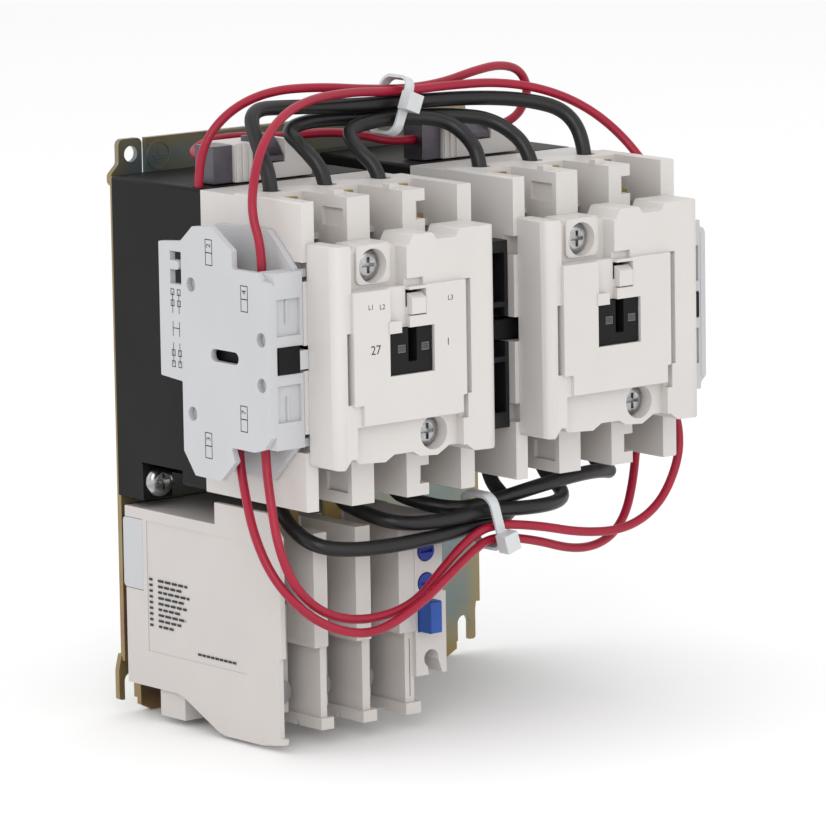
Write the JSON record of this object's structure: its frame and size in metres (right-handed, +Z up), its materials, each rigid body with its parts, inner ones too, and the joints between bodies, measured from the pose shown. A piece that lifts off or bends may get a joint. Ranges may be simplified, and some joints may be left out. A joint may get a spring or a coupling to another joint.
{
  "type": "magnetic motor starter",
  "caption": "Reversing magnetic motor starter: contactors side by side on a steel plate with an interlock, side auxiliary blocks, an overload relay and jumper wiring.",
  "frame": {"origin": "midway between the two upper fixing holes, on the panel face behind the plate", "axes": "+X to the right seen from the front, +Y back into the panel, +Z up"},
  "size_m": [0.172, 0.1147, 0.1986],
  "materials": {
    "light_plastic": "satin",
    "aux_plastic": "satin",
    "relay_plastic": "satin",
    "black_plastic": "satin",
    "grey_plastic": "satin",
    "blue_plastic": "satin",
    "nylon": "satin",
    "pvc_black": "satin",
    "pvc_red": "gloss",
    "zinc_plate": "satin",
    "bright_zinc": "satin",
    "core_steel": "satin",
    "spring_steel": "satin",
    "copper": "satin",
    "brass": "satin"
  },
  "bodies": {
    "starter_frame": {"mounting_plate": "zinc_plate", "base_screws": "bright_zinc", "cover_screws": "bright_zinc", "power_terminal_screws": "bright_zinc", "line_terminals": "brass", "load_terminals": "brass", "coil_terminals": "black_plastic", "auxiliary_terminals": "brass", "cable_ties": "nylon", "interlock_housing": "grey_plastic", "interlock_pin": "bright_zinc", "overload_case": "relay_plastic", "overload_side_cover": "relay_plastic", "overload_latch": "aux_plastic", "overload_heater_packs": "relay_plastic", "overload_terminals": "brass", "overload_bracket": "bright_zinc", "line_jumper_left_pole": "pvc_black", "line_jumper_middle_pole": "pvc_black", "line_jumper_right_pole": "pvc_black", "load_jumper_left_pole": "pvc_black", "load_jumper_middle_pole": "pvc_black", "load_jumper_right_pole": "pvc_black", "coil_crosslink_wire": "pvc_red", "upper_auxiliary_wire": "pvc_red", "coil_common_wire": "pvc_red", "lower_auxiliary_wire": "pvc_red", "lower_coil_wire": "pvc_red", "left_magnet_base": "black_plastic", "left_contact_housing": "light_plastic", "left_front_cover": "light_plastic", "left_magnet_core": "core_steel", "left_coil_bobbin": "light_plastic", "left_coil": "copper", "left_return_springs": "spring_steel", "left_auxiliary_body": "aux_plastic", "left_auxiliary_cover": "aux_plastic", "right_magnet_base": "black_plastic", "right_contact_housing": "light_plastic", "right_front_cover": "light_plastic", "right_magnet_core": "core_steel", "right_coil_bobbin": "light_plastic", "right_coil": "copper", "right_return_springs": "spring_steel", "right_auxiliary_body": "aux_plastic", "right_auxiliary_cover": "aux_plastic"},
    "left_moving_group": {"left_crosshead": "black_plastic", "left_armature": "core_steel", "left_moving_contacts": "copper", "left_contact_springs": "spring_steel", "left_auxiliary_plunger": "black_plastic"},
    "right_moving_group": {"right_crosshead": "black_plastic", "right_armature": "core_steel", "right_moving_contacts": "copper", "right_contact_springs": "spring_steel", "right_auxiliary_plunger": "black_plastic"},
    "interlock_rocker_body": {"interlock_rocker": "black_plastic"},
    "reset_lever_body": {"overload_reset_lever": "blue_plastic"},
    "current_dial_body": {"overload_current_dial": "blue_plastic"},
    "mode_dial_body": {"overload_mode_dial": "blue_plastic"}
  },
  "joints": [
    {"name": "left_contactor_slide", "type": "slide", "parent": "starter_frame", "child": "left_moving_group", "axis": [0, 1, 0], "range_m": [0, 0.006], "stiffness_N_per_m": 600, "springref_m": -0.002, "deforming": ["left_return_springs"]},
    {"name": "right_contactor_slide", "type": "slide", "parent": "starter_frame", "child": "right_moving_group", "axis": [0, 1, 0], "range_m": [0, 0.006], "stiffness_N_per_m": 600, "springref_m": -0.002, "deforming": ["right_return_springs"]},
    {"name": "interlock_rocker_tilt", "type": "hinge", "parent": "starter_frame", "child": "interlock_rocker_body", "pos_m": [0, -0.0691, -0.0522], "axis": [0, 0, 1], "range_deg": [-6, 6], "stiffness_Nm_per_rad": 0.02},
    {"name": "overload_reset_press", "type": "slide", "parent": "starter_frame", "child": "reset_lever_body", "axis": [0, 1, 0], "range_m": [0, 0.003], "stiffness_N_per_m": 500, "springref_m": -0.001},
    {"name": "current_dial_turn", "type": "hinge", "parent": "starter_frame", "child": "current_dial_body", "pos_m": [-0.01755, -0.0833, -0.1194], "axis": [0, -1, 0], "range_deg": [-120, 120]},
    {"name": "mode_dial_turn", "type": "hinge", "parent": "starter_frame", "child": "mode_dial_body", "pos_m": [-0.01755, -0.0833, -0.1294], "axis": [0, -1, 0], "range_deg": [-90, 90]}
  ]
}
